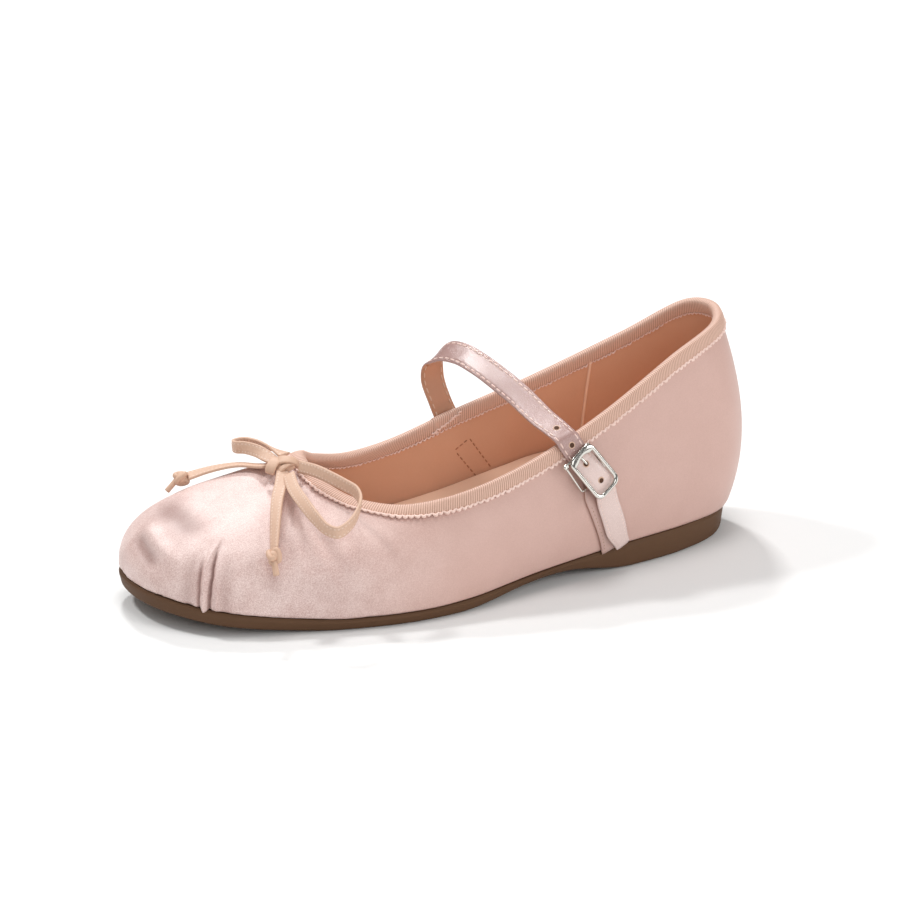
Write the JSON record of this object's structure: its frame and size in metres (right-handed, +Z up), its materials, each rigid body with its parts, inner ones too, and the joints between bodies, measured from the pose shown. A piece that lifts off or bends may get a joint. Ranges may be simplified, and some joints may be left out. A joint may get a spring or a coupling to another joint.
{
  "type": "mary jane shoe",
  "caption": "Left satin mary jane shoe with a low moulded sole, bound collar, instep strap with a side buckle, and a small lace bow on the vamp.",
  "frame": {"origin": "on the floor under the middle of the heel, at the heel's flat underside", "axes": "+X from the heel to the toe, +Y to the outer side of the foot, +Z up"},
  "size_m": [0.2423, 0.0841, 0.0852],
  "materials": {
    "brown_sole": "matte moulded rubber, plain underside",
    "pink_satin": "blush satin with a soft sheen, gathered over the toe",
    "footbed_leather": "tan lining leather, smooth and matte",
    "grosgrain_tape": "ribbed grosgrain tape, matte",
    "strap_satin": "satin over a thin backing, stitched along both edges",
    "buckle_chrome": "polished metal",
    "lace_leather": "narrow flat lace, matte"
  },
  "bodies": {
    "root": {"outsole": "brown_sole", "upper": "pink_satin", "insole": "footbed_leather", "collar_binding": "grosgrain_tape", "instep_strap": "strap_satin", "buckle_strap": "strap_satin", "buckle_frame": "buckle_chrome", "buckle_loop": "buckle_chrome", "buckle_prong": "buckle_chrome", "bow_knot": "lace_leather", "bow_loop_outer": "lace_leather", "bow_loop_inner": "lace_leather", "bow_tail_outer": "lace_leather", "bow_tail_inner": "lace_leather", "end_knot_outer": "lace_leather", "end_knot_inner": "lace_leather"}
  },
  "joints": []
}
